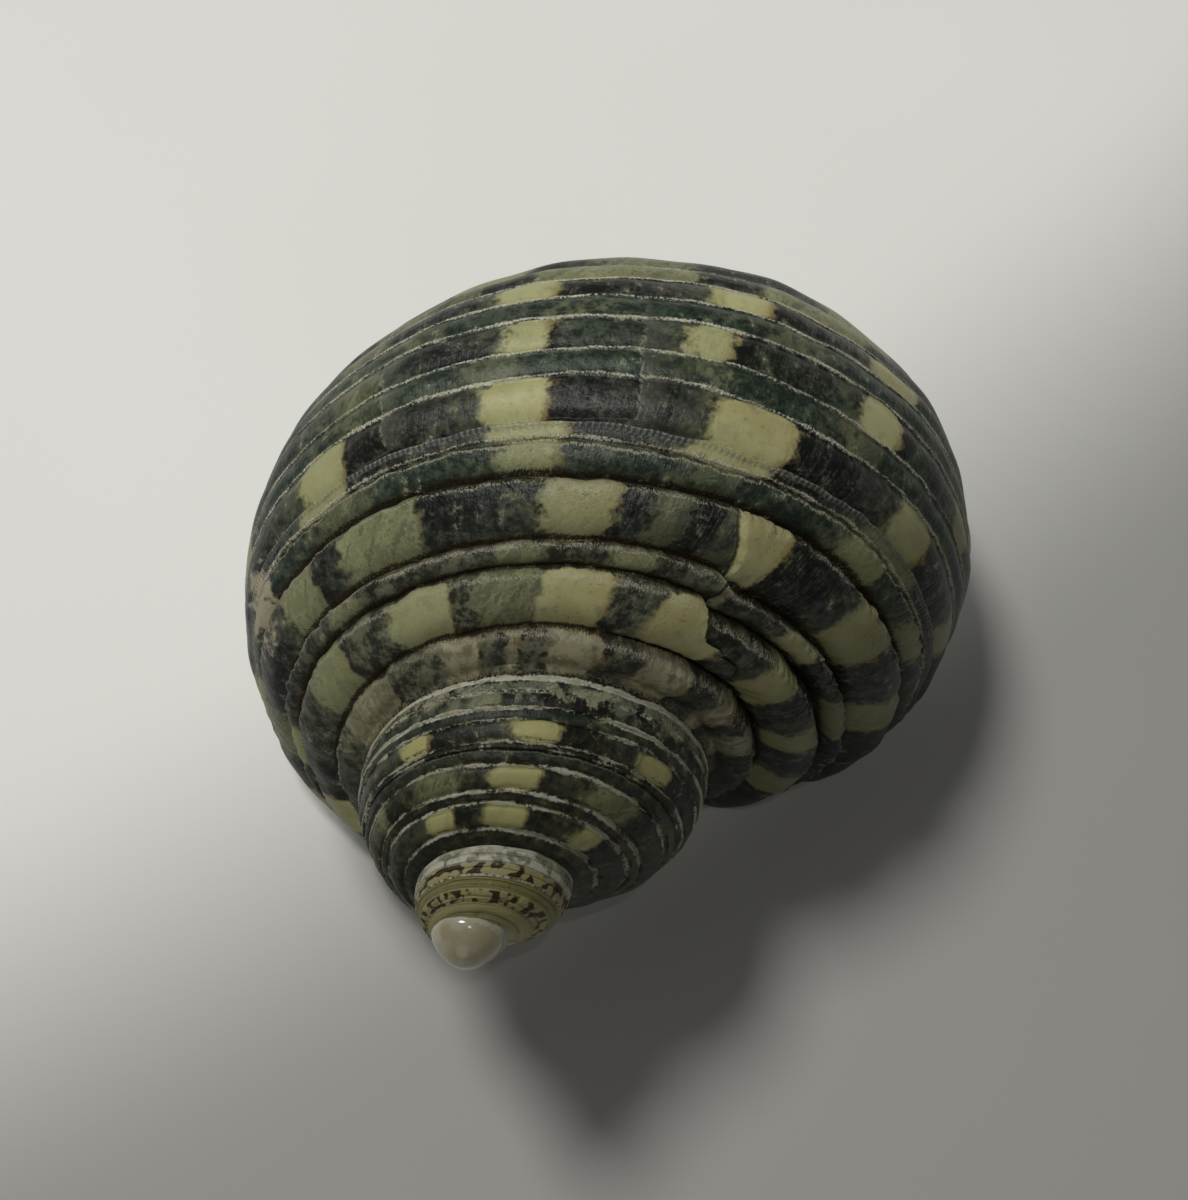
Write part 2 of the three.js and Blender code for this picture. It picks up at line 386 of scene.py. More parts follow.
def waver(value, seed, count=7):
    """A smooth repeatable wander between about -1 and 1."""
    draw = random.Random(seed)
    total = 0
    for _ in range(count):
        total = total + np.sin(value * draw.uniform(0.4, 1.7) + draw.uniform(0, 6.3))
    return total / math.sqrt(count)


def wanders(kinds, angle, place):
    return sum(size * waver(place / along + angle / across, seed) for size, along, across, seed in kinds)


def rib_of(angle):
    """Which rib an oval angle lies on, and how far across it from 0 to 1."""
    rib = np.clip(np.searchsorted(-RIB_GROOVES, -angle, side="right") - 1, 0, len(RIB_HEIGHTS) - 1)
    across = (RIB_GROOVES[rib] - angle) / (RIB_GROOVES[rib] - RIB_GROOVES[rib + 1])
    return rib, np.clip(across, 0, 1)


def past_break(angle, place):
    """Degrees past the growth break along the whorl, and how much the break counts there."""
    past = place - np.interp(angle, BREAK_ANGLES, BREAK_PLACES)
    return past, between(*BREAK_ANGLE_ENDS, angle) * between(*BREAK_PLACE_ENDS, place)


def spire_part(place):
    return 1 - eased(*SPIRE_TURNS, place / 360)


def chipping(angle, place, seed):
    """A jagged wander along the ribs' frayed edges and none elsewhere."""
    near = sum(hump(angle, edge + offset, CHIP_WIDTH) for edge, offset in FRAYED_EDGES)
    return near * waver(place * CHIP_COUNT, seed)


def drift(angle, place):
    """How far the ribs stray over the oval: a slow wander, and past the break a push towards the suture."""
    past, counts = past_break(angle, place)
    pushed = BREAK_PUSH * between(*PUSH_ANGLES, angle) * counts
    pushed = pushed * eased(*PUSH_STEP, past) * np.exp(-np.maximum(past, 0) / PUSH_LENGTH)
    wander = wanders(RIB_WANDERS, angle, place) + CHIP_DRIFT * chipping(angle, place, 22)
    return pushed + wander * between(*WANDER_ANGLES, angle)


def rib_relief(angle, place):
    """Height of the ribs over the whorl's oval, and how near each point is to a crest, from 0 to 1."""
    rib, across = rib_of(angle)
    spire = spire_part(place)
    rounder = eased(*SWELL_PLACES, place)
    swell = 1 + SWELL * rounder * eased(*SWELL_ANGLES, angle)
    floor = -(GROOVE_DEPTHS[rib] * (1 - across) + GROOVE_DEPTHS[rib + 1] * across)
    floor = floor * swell * (1 - SPIRE_SHALLOWNESS * spire)
    crest = CREST_RISE * RIB_HEIGHTS[rib] * swell
    fullness = RIB_FULLNESS - ROUNDING * rounder
    steep = eased(*STEEP_ANGLES, angle) * (1 - spire)
    crest_at = 0.5 + CREST_SHIFT * steep
    low_side = np.abs(1 - across / crest_at) ** (fullness - SOFT_SLOPE * steep)
    top_side = np.abs((across - crest_at) / (1 - crest_at)) ** (fullness + STEEP_SLOPE * steep)
    dome = 1 - np.where(across < crest_at, low_side, top_side)
    return floor + (crest - floor) * dome, dome


def relief(angle, place):
    """Height of the ribs, threads, growth waves and break over the whorl's oval."""
    past, counts = past_break(angle, place)
    spire = spire_part(place)
    height, dome = rib_relief(angle, place)
    for middle, rise, width, _ in THREADS:
        height = height + rise * hump(angle, middle, width) * (1 + spire)
    for middle, rise, width in SPIRE_THREADS:
        height = height + rise * hump(angle, middle, width) * spire
    ribbed = (angle < RIB_GROOVES[0]) & (angle > RIB_GROOVES[-1])
    fading = GROOVE_WAVES + (1 - GROOVE_WAVES) * dome
    height = height + wanders(GROWTH_WAVES, angle, place) * fading
    height = height + CHIP_RISE * chipping(angle, place, 21) * (1 - spire)
    before = np.exp(np.minimum(past, 0) / LIP_LENGTH) * (past < 0)
    after = np.exp(-np.maximum(past, 0) / BULGE_LENGTH) * (past >= 0) * fading
    dipping = eased(*BULGE_ANGLES, angle)
    height = height + counts * BREAK_LIP * before * dipping
    height = height + counts * after * (BREAK_BULGE * (1 - dipping) - BREAK_DIP * dipping)
    height = height - DEEP_GROOVE_DEPTH * hump(angle, *DEEP_GROOVE) * between(*DEEP_GROOVE_ENDS, place)
    return np.where(ribbed, height, 0) * eased(*WORN_RELIEF, place / 360)


def whorl_point(angle, raised):
    """Radius and height of a point of the whorl's outside, raised by the relief there."""
    turned = np.radians(angle)
    oval = OVALITY * np.cos(2 * np.radians(angle - OVAL_LEAN))
    full = SHOULDER_FULLNESS * np.cos(3 * np.radians(angle - SHOULDER_ANGLE))
    reach = WHORL_RADIUS * (1 + oval + full) + raised
    free = WHORL_CENTRE_RADIUS + reach * np.cos(turned)
    radius = (free + COLUMELLA_GAP + np.hypot(free - COLUMELLA_GAP, COLUMELLA_ROUNDING)) / 2
    inwards = np.maximum(0, 1 - radius / BASE_HOLLOW_RADIUS) * (np.sin(turned) < 0)
    return radius, reach * np.sin(turned) - WHORL_CENTRE_DROP + BASE_HOLLOW_DEPTH * inwards ** 2


def leaning(turn, height):
    return turn + EDGE_LEAN * (height + WHORL_CENTRE_DROP) / WHORL_RADIUS


def wound(radius, height, turn):
    """An outline point carried along the growth spiral to a turn, in the shell's own frame."""
    size = WHORL_EXPANSION ** turn
    swing = -2 * np.pi * turn
    sink = SINK_DEPTH * (np.hypot(1, np.maximum(0, turn - SINK_TURN) / SINK_EASE) - 1)
    return np.stack([radius * np.cos(swing) * size, radius * np.sin(swing) * size, height * size - sink], -1)


def rib_columns():
    """Oval angles of the outline's points: one in each groove, five on each thread and enough between."""
    knots = set(RIB_GROOVES)
    for middle, _, width, _ in THREADS:
        knots = {knot for knot in knots if abs(knot - middle) > THREAD_CLEARANCE * width}
        knots |= {middle + part * width for part in THREAD_COLUMNS}
    knots = sorted(knots | {RIB_GROOVES[0], RIB_GROOVES[-1]}, reverse=True)
    angles = []
    for start, end in zip(knots[:-1], knots[1:]):
        count = math.ceil((start - end) / (RIB_COLUMN if start > BASE_ANGLE else BASE_COLUMN))
        angles += [start + (end - start) * step / count for step in range(count)]
    last = RIB_GROOVES[-1]
    around = RIB_GROOVES[0] - 360 - last
    angles += [last + around * step / AXIS_SIDE_COLUMNS for step in range(AXIS_SIDE_COLUMNS)]
    return angles


def grown_tube(ring_values, turns):
    """A ring drawn out along the growth spiral and closed at both ends.
    Each vertex keeps its turn and ring value; the middle of an end is marked instead."""
    bm = bmesh.new()
    turn_of = bm.verts.layers.float.new("turn")
    value_of = bm.verts.layers.float.new("value")
    middle_of = bm.verts.layers.float.new("middle")
    ring = bmesh.ops.create_circle(bm, cap_ends=False, segments=len(ring_values), radius=1)["verts"]
    for vert, value in zip(ring, ring_values):
        vert[turn_of] = turns[0]
        vert[value_of] = value
    edges = first = bm.edges[:]
    for turn in turns[1:]:
        drawn = bmesh.ops.extrude_edge_only(bm, edges=edges)["geom"]
        fresh = {part for part in drawn if isinstance(part, bmesh.types.BMVert)}
        edges = [part for part in drawn if isinstance(part, bmesh.types.BMEdge)
                 and part.verts[0] in fresh and part.verts[1] in fresh]
        for vert in fresh:
            vert[turn_of] = turn
    for end, turn in ((first, turns[0]), (edges, turns[-1])):
        cap = bmesh.ops.contextual_create(bm, geom=end)["faces"]
        for vert in bmesh.ops.poke(bm, faces=cap)["verts"]:
            vert[turn_of] = turn
            vert[middle_of] = 1
    return bm, turn_of, value_of, middle_of


def finished_tube(bm, points, zone_values, middle, name):
    """Puts the tube's vertices in place, gives it its growth map and makes it an object."""
    placed = points @ np.array(LYING.to_3x3()).T + np.array(LYING.translation)
    for vert, point in zip(bm.verts, placed):
        vert.co = point
    bmesh.ops.recalc_face_normals(bm, faces=bm.faces)
    growth = bm.loops.layers.uv.new("growth")
    turns, values = zone_values
    bm.verts.index_update()
    for face in bm.faces:
        indices = [loop.vert.index for loop in face.loops]
        low = min(values[index] for index in indices)
        for loop, index in zip(face.loops, indices):
            value = values[index]
            if value - low > SEAM_STEP:
                value -= 360
            loop[growth].uv = (turns[index], value)
        if any(middle[index] > 0 for index in indices):
            for loop in face.loops:
                loop[growth].uv = (0, RIM_ZONE)
    return as_object(bm, name)


def as_object(bm, name):
    mesh = bpy.data.meshes.new(name)
    bm.to_mesh(mesh)
    bm.free()
    made = bpy.data.objects.new(name, mesh)
    bpy.context.scene.collection.objects.link(made)
    return made


def layer_values(bm, layer):
    return np.array([vert[layer] for vert in bm.verts])


def whorl_length(start, end, step):
    """One length of the ribbed whorls."""
    count = max(2, round((end - start) * 360 / step))
    bm, turn_of, value_of, middle_of = grown_tube(rib_columns(), np.linspace(start, end, count + 1))
    turn, angle, middle = (layer_values(bm, layer) for layer in (turn_of, value_of, middle_of))
    _, smooth_height = whorl_point(angle, 0)
    place = leaning(turn, smooth_height) * 360
    radius, height = whorl_point(angle + drift(angle, place), relief(angle, place))
    radius = np.where(middle > 0, WHORL_CENTRE_RADIUS, radius)
    height = np.where(middle > 0, -WHORL_CENTRE_DROP, height)
    bulge = np.where(turn > start, END_BULGE if end < WINDING_ENDS[-1] else 0, -END_BULGE)
    place = np.where(middle > 0, turn + bulge, leaning(turn, height))
    return finished_tube(bm, wound(radius, height, place), (place, angle), middle, "whorl length")


def hollow_length():
    sides = [360 * side / HOLLOW_SIDES for side in range(HOLLOW_SIDES)]
    start, end = HOLLOW_TURNS
    count = round((end - start) * 360 / HOLLOW_STEP)
    bm, turn_of, value_of, middle_of = grown_tube(sides, np.linspace(start, end, count + 1))
    turn, side, middle = (layer_values(bm, layer) for layer in (turn_of, value_of, middle_of))
    spread = 1 - middle
    radius = HOLLOW_CENTRE_RADIUS + spread * HOLLOW_HALF_WIDTH * np.cos(np.radians(side))
    height = -HOLLOW_CENTRE_DROP + spread * HOLLOW_HALF_HEIGHT * np.sin(np.radians(side))
    place = leaning(turn, height)
    return finished_tube(bm, wound(radius, height, place), (place, INSIDE_ZONE + side), middle, "hollow")


def placed_solid(bm, zone, name, transform, along=None):
    """A plain solid put where it belongs, its growth map holding its zone and any measure along it."""
    bmesh.ops.transform(bm, matrix=transform, verts=bm.verts)
    bmesh.ops.recalc_face_normals(bm, faces=bm.faces)
    growth = bm.loops.layers.uv.new("growth")
    for face in bm.faces:
        for loop in face.loops:
            loop[growth].uv = (along[loop.vert] if along else 0, zone)
    return as_object(bm, name)


def pillar():
    bm = bmesh.new()
    bmesh.ops.create_cone(
        bm, cap_ends=True, segments=PILLAR_SIDES, radius1=PILLAR_END_RADIUS, radius2=PILLAR_START_RADIUS,
        depth=PILLAR_END_DROP - PILLAR_START_DROP)
    middle = Matrix.Translation((0, 0, -(PILLAR_START_DROP + PILLAR_END_DROP) / 2))
    return placed_solid(bm, PAD_ZONE, "pillar", LYING @ middle)


def pad():
    bm = bmesh.new()
    sides, rings = PAD_SIDES
    bmesh.ops.create_uvsphere(bm, u_segments=sides, v_segments=rings, radius=PAD_RADIUS)
    along = {vert: vert.co.x / PAD_RADIUS for vert in bm.verts}
    for vert in bm.verts:
        fold = waver(vert.co.z / FOLD_SIZE[0] + vert.co.x / FOLD_SIZE[1], 31)
        vert.co *= 1 + PAD_FOLDS * (fold - 1)
    stretch = Matrix.Diagonal((1, 1, PAD_HALF_LENGTH / PAD_RADIUS, 1))
    beside = Matrix.Translation((PAD_TOWARDS_LIP, 0, -PAD_DROP))
    turned = Matrix.Rotation(-2 * math.pi * WINDING_ENDS[-1], 4, "Z")
    return placed_solid(bm, PAD_ZONE, "pad", LYING @ turned @ beside @ stretch, along)


def tip():
    bm = bmesh.new()
    sides, rings = TIP_SIDES
    bmesh.ops.create_uvsphere(bm, u_segments=sides, v_segments=rings, radius=TIP_RADIUS)
    for vert in bm.verts:
        narrowed = 1 - TIP_TAPER * max(0, vert.co.z / TIP_RADIUS)
        vert.co.x *= narrowed
        vert.co.y *= narrowed
        vert.co.z *= TIP_HALF_LENGTH / TIP_RADIUS
    along = {vert: vert.co.z / TIP_HALF_LENGTH for vert in bm.verts}
    return placed_solid(bm, TIP_ZONE, "tip", LYING @ Matrix.Translation((0, 0, -TIP_DROP)), along)


def surface_block():
    bm = bmesh.new()
    bmesh.ops.create_cube(bm, size=SURFACE_BLOCK)
    return placed_solid(bm, RIM_ZONE, "surface block", Matrix.Translation((0, 0, -SURFACE_BLOCK / 2)))


def combined(body, other, operation):
    """Joins or cuts one solid with another, keeping the growth map."""
    joint = body.modifiers.new("joint", "BOOLEAN")
    joint.solver = "MANIFOLD"
    joint.operation = operation
    joint.object = other
    view = bpy.context.evaluated_depsgraph_get()
    mesh = bpy.data.meshes.new_from_object(body.evaluated_get(view))
    body.modifiers.clear()
    old = body.data
    body.data = mesh
    bpy.data.meshes.remove(old)
    spent = other.data
    bpy.data.objects.remove(other)
    bpy.data.meshes.remove(spent)


def keep_largest(bm):
    """Drops crumbs that the joins leave loose."""
    left = set(bm.verts)
    groups = []
    while left:
        group = {left.pop()}
        edge = list(group)
        while edge:
            vert = edge.pop()
            for link in vert.link_edges:
                other = link.other_vert(vert)
                if other in left:
                    left.discard(other)
                    group.add(other)
                    edge.append(other)
        groups.append(group)
    groups.sort(key=len)
    for group in groups[:-1]:
        bmesh.ops.delete(bm, geom=list(group), context="VERTS")


def flames():
    """Every rib's blotches along the whole shell: those seen, and repeatable ones where none is listed."""
    draw = random.Random(41)
    made = []
    for rib in range(len(RIB_HEIGHTS)):
        known = BLOTCHES.get(rib, [])
        spots = list(known)
        place = FLAME_PLACES[0] + FLAME_LEAN * (RIB_GROOVES[rib] + RIB_GROOVES[rib + 1]) / 2
        while place < FLAME_PLACES[1]:
            middle = place + draw.uniform(-FLAME_STRAY, FLAME_STRAY)
            spot = (middle, draw.uniform(*FLAME_HALVES), draw.uniform(*FLAME_PALENESS))
            clear = all(abs(middle - other[0]) > FLAME_CLEARANCE for other in known)
            if clear and draw.random() < FLAME_CHANCE and not BARE_SPIRE[0] < middle < BARE_SPIRE[1]:
                spots.append(spot)
            place += FLAME_SPACING
        made.append(np.array(sorted(spots)).T)
    return made


def blotch_marks(place, rib, across):
    """How far each corner is inside a blotch, how pale that is, and how far it is from one to the next."""
    inside, pale, phase = (np.zeros(len(place)) for _ in range(3))
    for number, (middles, halves, strengths) in enumerate(flames()):
        here = rib == number
        at = place[here]
        after = np.clip(np.searchsorted(middles, at), 1, len(middles) - 1)
        before = after - 1
        to_after, to_before = (np.minimum((at - middles[near] + halves[near]) * BLOTCH_START_SOFTNESS,
                                          middles[near] + halves[near] - at) for near in (after, before))
        corner = BLOTCH_CORNER * (1 + SPIRE_CORNER * spire_part(at))
        corner = corner * np.abs(2 * across[here] - 1) ** CORNER_POWER
        inside[here] = np.maximum(to_after, to_before) - corner
        pale[here] = np.where(to_after > to_before, strengths[after], strengths[before])
        gap = (middles[after] - halves[after]) - (middles[before] + halves[before])
        phase[here] = np.clip((at - middles[before] - halves[before]) / np.maximum(gap, 1), 0, 1)
    return inside, pale, phase


def line_marks(angle, spire):
    """How much each corner lies on a groove's dirt and painted shade, a frayed edge or a thread."""
    groove, fringe, thread = (np.zeros(len(angle)) for _ in range(3))
    for edge, dirt_and_shade_depth in zip(RIB_GROOVES, GROOVE_DIRT_AND_SHADE):
        deep = np.maximum(dirt_and_shade_depth, SPIRE_DIRT_AND_SHADE * spire)
        line = hump(angle, edge - GROOVE_OFFSET - SPIRE_SHIFT * spire, GROOVE_WIDTH)
        groove = np.maximum(groove, deep * line)
    for edge, offset in FRAYED_EDGES:
        fringe = np.maximum(fringe, hump(angle, edge + offset, FRAY_WIDTH))
    for middle, _, width, chalkiness in THREADS:
        line = hump(angle, middle, width * (1 + (THREAD_CHALK - 1) * spire))
        thread = np.maximum(thread, line * (1 - spire + chalkiness * spire))
    for middle, _, width in SPIRE_THREADS:
        thread = np.maximum(thread, hump(angle, middle, width * SPIRE_THREAD_CHALK) * spire)
    return groove, fringe, thread


def marks(place, angle):
    """What the finish needs to know at each corner of the whorls."""
    past, counts = past_break(angle, place)
    spire = spire_part(place)
    angle = np.where(angle < -180, angle + 360, angle)
    rib, across = rib_of(angle)
    blotch, pale, phase = blotch_marks(place, rib, across)
    for number, side in BREAK_SIDES:
        near = (place > CUT_PLACES[0]) & (place < CUT_PLACES[1]) & (counts > CUT_LEAST)
        here = near & (rib == number)
        blotch[here] = np.minimum(blotch[here], CUT_SHARPNESS * side * past[here])
    groove, fringe, thread = line_marks(angle, spire)
    first, second = (place - rest_place - REST_LEAN * angle for rest_place in REST_PLACES)
    crossing = (angle > REST_ANGLES[0]) & (angle < REST_ANGLES[1])
    rest = np.where(crossing, np.where(np.abs(first) < np.abs(second), first, second), FAR_FROM_REST)
    return {
        "blotch": np.clip(blotch, -FAR_FROM_BLOTCH, FAR_FROM_BLOTCH), "pale": pale, "phase": phase,
        "groove": groove, "thread": thread, "fringe": fringe, "teal": np.array(RIB_TEAL)[rib],
        "spire": spire, "beige": eased(*BEIGE_ANGLES, angle) * (1 - spire),
        "past": np.clip(past, -FAR_FROM_BREAK, FAR_FROM_BREAK), "broken": counts,
        "suture": hump(angle, *SUTURE_LINE) * spire, "limy": hump(angle, *LIMY_BAND) * spire,
        "crust": eased(*CRUST_ANGLES, angle) * (1 - spire),
        "worn": 1 - eased(*WORN_COLOUR, place / 360), "young": 1 - eased(*YOUNG_TURNS, place / 360),
        "dusty": eased(*DUSTY_ANGLES, angle) * hump(place, DUSTY_PLACE, DUSTY_REACH) * (1 - spire),
        "rest": np.clip(rest, -FAR_FROM_REST, FAR_FROM_REST),
        "rubbed": hump(place, RUBBED_PLACE, RUBBED_REACH[0]) * hump(angle, RUBBED_ANGLE, RUBBED_REACH[1]),
    }


def shell_solid():
    """The shell in one mesh of triangles."""
    starts = [WINDING_START] + WINDING_ENDS[:-1]
    lengths = [whorl_length(*length) for length in zip(starts, WINDING_ENDS, WINDING_STEPS)]
    body = lengths[0]
    for other in lengths[1:] + [pillar(), pad(), tip()]:
        combined(body, other, "UNION")
    combined(body, hollow_length(), "DIFFERENCE")
    combined(body, surface_block(), "DIFFERENCE")
    bm = bmesh.new()
    bm.from_mesh(body.data)
    keep_largest(bm)
    bmesh.ops.triangulate(bm, faces=bm.faces)
    bm.to_mesh(body.data)
    bm.free()
    body.name = body.data.name = "turban_shell"
    return body


def shell():
    """The shell with everything that its finish needs to know at each corner."""
    body = shell_solid()
    mesh = body.data
    corners = np.zeros(len(mesh.loops) * 2, np.float32)
    mesh.uv_layers["growth"].uv.foreach_get("vector", corners)
    turn, value = corners.reshape(-1, 2).T.astype(float)
    whorl = value < INSIDE_ZONE / 2
    fields = marks(turn * 360, np.where(whorl, value, 0))
    fields = {name: np.where(whorl, values, 0) for name, values in fields.items()}
    points = np.zeros(len(mesh.vertices) * 3, np.float32)
    mesh.vertices.foreach_get("co", points)
    used = np.zeros(len(mesh.loops), np.int32)
    mesh.loops.foreach_get("vertex_index", used)
    across, along = points.reshape(-1, 3)[used, :2].T
    scuffed = (value == RIM_ZONE) & (np.hypot(across - APERTURE[0], along - APERTURE[1]) > LIP_REACH)
    fields["rubbed"] = np.where(scuffed, SCUFF, fields["rubbed"])
    fields["pearl"] = (~whorl & ~scuffed).astype(float)
    fields["callus"] = np.where(value == PAD_ZONE, 1 - eased(*PAD_STAIN, turn), 0)
    fields["worn"] = np.where(value == TIP_ZONE, 1, fields["worn"])
    fields["tip rim"] = np.where(value == TIP_ZONE, 1 - eased(*TIP_RIM, turn), fields["worn"])
    for name, values in fields.items():
        layer = mesh.attributes.new(name, "FLOAT", "CORNER")
        layer.data.foreach_set("value", values.astype(np.float32))
    mesh.shade_smooth()
    mesh.set_sharp_from_angle(angle=math.radians(SHARP_EDGE))
    return body


class Field:
    """A socket of a finish; Python's operators on it add Math nodes."""

    def __init__(self, finish, socket):
        self.finish = finish
        self.socket = socket

    def __add__(self, other):
        return self.finish.math("ADD", self, other)

    def __radd__(self, other):
        return self.finish.math("ADD", other, self)

    def __sub__(self, other):
        return self.finish.math("SUBTRACT", self, other)

    def __rsub__(self, other):
        return self.finish.math("SUBTRACT", other, self)

    def __mul__(self, other):
        return self.finish.math("MULTIPLY", self, other)

    def __rmul__(self, other):
        return self.finish.math("MULTIPLY", other, self)


class Finish:
    """A material and the few ways its nodes are made."""

    def __init__(self, name):
        self.material = bpy.data.materials.new(name)
        self.material.use_nodes = True
        self.tree = self.material.node_tree
        self.shader = self.tree.nodes["Principled BSDF"]

    def node(self, kind, settings=None, sockets=None):
        made = self.tree.nodes.new(kind)
        for name, value in (settings or {}).items():
            setattr(made, name, value)
        self.fill(made, sockets or {})
        return made

    def fill(self, made, sockets):
        for name, value in sockets.items():
            if isinstance(value, Field):
                self.tree.links.new(value.socket, made.inputs[name])
            else:
                made.inputs[name].default_value = value

    def math(self, operation, one, other):
        made = self.node("ShaderNodeMath", {"operation": operation}, {0: one, 1: other})
        return Field(self, made.outputs[0])

    def attribute(self, name):
        return Field(self, self.node("ShaderNodeAttribute", {"attribute_name": name}).outputs["Fac"])

    def ramp(self, value, low, high, from_value=0.0, to_value=1.0):
        made = self.node("ShaderNodeMapRange", {"interpolation_type": "SMOOTHSTEP"}, {
            "Value": value, "From Min": low, "From Max": high, "To Min": from_value, "To Max": to_value})
        return Field(self, made.outputs["Result"])

    def blend(self, factor, one, other):
        """Two colours blended; they are inputs 6 and 7 of the node, and its output 2 is a colour."""
        made = self.node("ShaderNodeMix", {"data_type": "RGBA"}, {0: factor, 6: one, 7: other})
        return Field(self, made.outputs[2])

    def noise(self, vector, scale, detail=2.0, roughness=0.5):
        made = self.node("ShaderNodeTexNoise", None, {
            "Vector": vector, "Scale": scale, "Detail": detail, "Roughness": roughness})
        return Field(self, made.outputs["Fac"])

    def spot(self, place, angle, middle, none, full):
        """One inside a small round spot on the whorl and none outside it; the radii are in millimetres."""
        near = self.node("ShaderNodeVectorMath", {"operation": "DISTANCE"}, {
            0: self.vector(place * PLACE_MM, angle * ANGLE_MM),
            1: (middle[0] * PLACE_MM, middle[1] * ANGLE_MM, 0)})
        return self.ramp(Field(self, near.outputs["Value"]), none, full)

    def vector(self, x, y, z=0.0):
        return Field(self, self.node("ShaderNodeCombineXYZ", None, {"X": x, "Y": y, "Z": z}).outputs[0])


